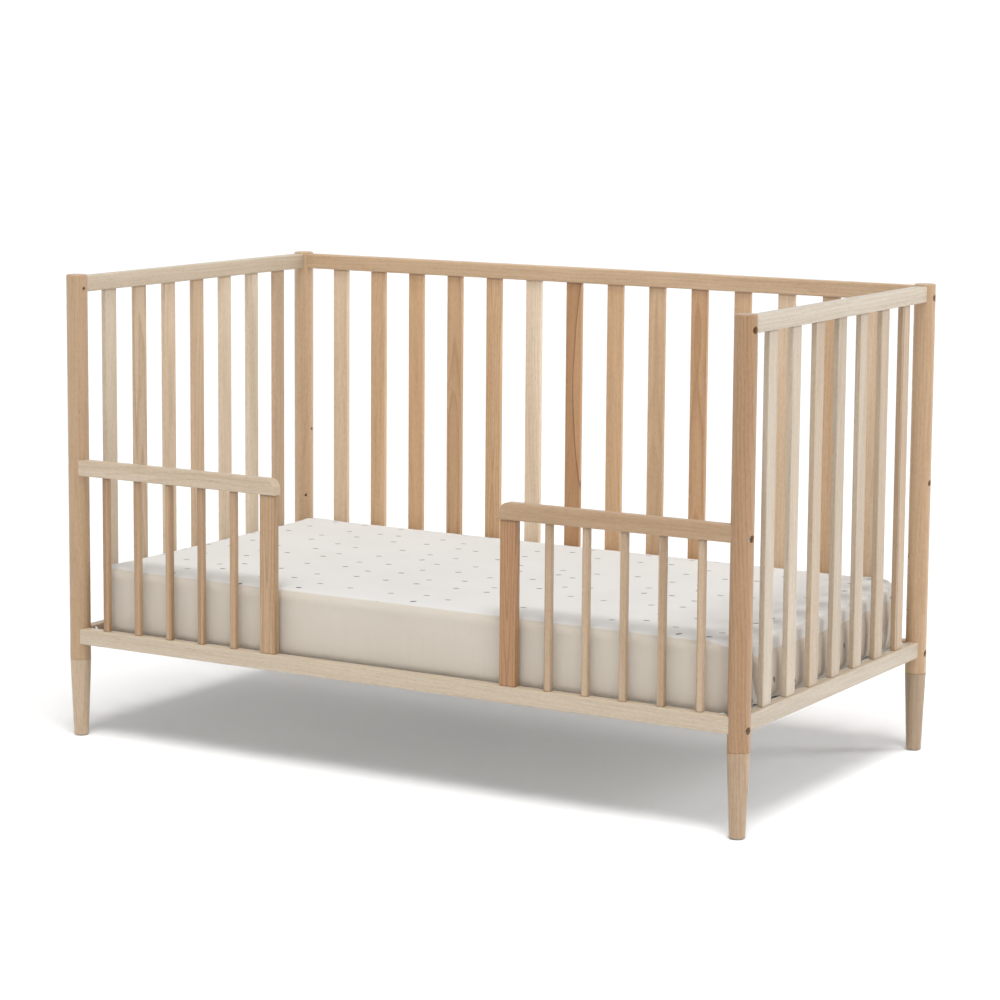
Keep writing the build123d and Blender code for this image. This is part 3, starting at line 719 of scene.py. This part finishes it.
def sheet_cloth():
    """Cotton in warm white with a small scattered print, and plain beige long sides.

    The print and the weave run on over the ends, where the cloth's length is the drop down them. Below
    their rounded top edge the ends carry painted shade, a warmer, slightly darker white for the shade there
    and the light bounced off the slats.
    """
    build = Build("sheet_cotton")
    x, y, z = build.split(build.place())
    drop = build.math("MAXIMUM", build.math("SUBTRACT", BOX_HI.z, z), 0.0)
    half = (BOX_HI - BOX_LO) / 2
    off_middle = build.math("SUBTRACT", y, (BOX_LO.y + BOX_HI.y) / 2)
    at_end = build.mapped(build.math("ABSOLUTE", x), half.x - RIM, half.x - RIM / 2)
    run = build.math("MULTIPLY", build.math("MULTIPLY", build.math("SIGN", x), drop), at_end)
    cloth = build.join(build.math("ADD", x, run), y)

    cells = build.node("ShaderNodeTexVoronoi", voronoi_dimensions="2D", feature="F1")
    build.set(cells, {"Vector": cloth, "Scale": 1 / PRINT_PITCH, "Randomness": 0.56})
    away = build.vector("SUBTRACT", cloth, cells.outputs["Position"])
    pick = build.set(build.node("ShaderNodeSeparateColor"), {0: cells.outputs["Color"]})
    angle = build.mapped(pick.outputs[0], 0, 1, -math.radians(PRINT_SLANT[0]), -math.radians(PRINT_SLANT[1]))
    turned = build.node("ShaderNodeVectorRotate", rotation_type="Z_AXIS")
    build.set(turned, {"Vector": away, "Angle": angle})
    dx, dy, _ = build.split(turned.outputs[0])
    frayed = build.math("MULTIPLY", build.noise(build.stretched(cloth, (700, 700, 700)), detail=1), 0.0014)
    reach = build.math("ABSOLUTE", dx)
    long_part = build.mapped(reach, *MARK_REACH, 1.0, 0.0)
    slim = build.math("ADD", build.math("ABSOLUTE", dy), build.math("MULTIPLY", reach, 0.15))
    thin_part = build.mapped(build.math("ADD", slim, frayed), *MARK_THICK, 1.0, 0.0)
    mark = build.math("MULTIPLY", build.math("MULTIPLY", long_part, thin_part),
                      build.mapped(pick.outputs[1], 0, 1, 0.70, 1.0))

    past = build.math("MAXIMUM", build.math("SUBTRACT", build.math("ABSOLUTE", x), half.x - CORNER), 0.0)
    past = build.math("MULTIPLY", past, build.mapped(drop, 0.008, 0.018, 0.0, 0.64))
    outward = build.math("ADD", build.math("ABSOLUTE", off_middle), past)
    plain = build.mapped(outward, half.y - PLAIN_FROM, half.y - PLAIN_TO, smooth=True)
    mark = build.math("MULTIPLY", mark, build.math("SUBTRACT", 1.0, plain))

    u, v, _ = build.split(cloth)
    warp = build.math("SINE", build.math("MULTIPLY", u, 2 * math.pi / WARP_PITCH))
    weft = build.math("SINE", build.math("MULTIPLY", v, 2 * math.pi / WEFT_PITCH))
    slub = build.noise(build.stretched(cloth, (60, 900, 60)), detail=2)
    soft = build.noise(build.stretched(build.place(), (6, 6, 6)), detail=2)
    white = build.mix(build.mapped(soft, 0.3, 0.7), (0.675, 0.667, 0.650), (0.645, 0.637, 0.617))
    # Painted shade: below their rounded top edge the ends take a warmer, slightly darker white for the shade
    # there and the light bounced off the slats.
    painted_end_shade = build.mix(build.mapped(soft, 0.3, 0.7), (0.715, 0.638, 0.548), (0.665, 0.585, 0.495))
    shaded_low_end = build.math("MULTIPLY", at_end, build.mapped(drop, 0.024, 0.044, smooth=True))
    white = build.mix(shaded_low_end, white, painted_end_shade)
    beige = build.mix(build.mapped(soft, 0.3, 0.7), (0.580, 0.530, 0.458), (0.555, 0.505, 0.432))
    colour = build.mix(plain, white, beige)
    thicker = build.math("MULTIPLY", build.mapped(slub, 0.45, 0.75), 0.07)
    colour = build.mix(thicker, colour, (0.40, 0.37, 0.32))
    ribbing = build.math("MULTIPLY", build.mapped(warp, -1, 1), build.mapped(shaded_low_end, 0, 1, 0.05, 0.34))
    colour = build.mix(ribbing, colour, (0.40, 0.33, 0.25))
    colour = build.mix(build.math("MULTIPLY", mark, 0.95), colour, (0.075, 0.070, 0.066))
    height = build.math("ADD", build.math("MULTIPLY", warp, 0.5), build.math("MULTIPLY", weft, 0.12))
    height = build.math("ADD", height, slub)
    build.shader(colour=colour, roughness=0.92, sheen=0.15, sheen_rough=0.5, level=0.25,
                 normal=build.bump(height, 0.35, 0.0004))
    return build.material


def make_core():
    """The mattress inside the sheet, seen from below within the hem."""
    inset = Vector((CORE_INSET,) * 3)
    low, high = BOX_LO + inset, BOX_HI - inset
    low.z = BOX_LO.z + 2.0 * MM
    high.z = BOX_HI.z - SWELL_TOP - 5 * MM
    core = padded_block("mattress_core", low, high, CORNER - inset.x, 13 * MM, 12 * MM)
    core.data.shade_smooth()
    build = Build("mattress_ticking")
    x, y, z = build.split(build.place())
    pitch = 2 * math.pi / QUILT_PITCH
    waves = []
    for operation in ("ADD", "SUBTRACT"):
        diagonal = build.math("MULTIPLY", build.math(operation, x, y), pitch / 2)
        waves.append(build.math("ABSOLUTE", build.math("SINE", diagonal)))
    quilt = build.math("POWER", build.math("MINIMUM", *waves), 0.35)
    knit = build.noise(build.stretched(build.place(), (700, 700, 700)), detail=2)
    # Painted shade: the ticking is coloured darker towards its quilting seams, in the creases between the
    # puffs.
    colour = build.mix(build.mapped(quilt, 0.2, 0.9), (0.60, 0.59, 0.56), (0.74, 0.73, 0.70))
    height = build.math("ADD", build.math("MULTIPLY", quilt, 4.0), build.math("MULTIPLY", knit, 0.6))
    build.shader(colour=colour, roughness=0.9, sheen=0.1, sheen_rough=0.5,
                 normal=build.bump(height, 0.5, 0.0012))
    core.data.materials.clear()
    core.data.materials.append(build.material)
    return core


def make_mattress():
    core, sheet = make_core(), make_sheet()
    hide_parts("mattress")
    for piece in (core, sheet):
        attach(piece, "mattress")


# ---------------------------------------------------------------- build

make_camera()
make_studio()
paint_wood()
make_springs(paint_hardware())
make_mattress()
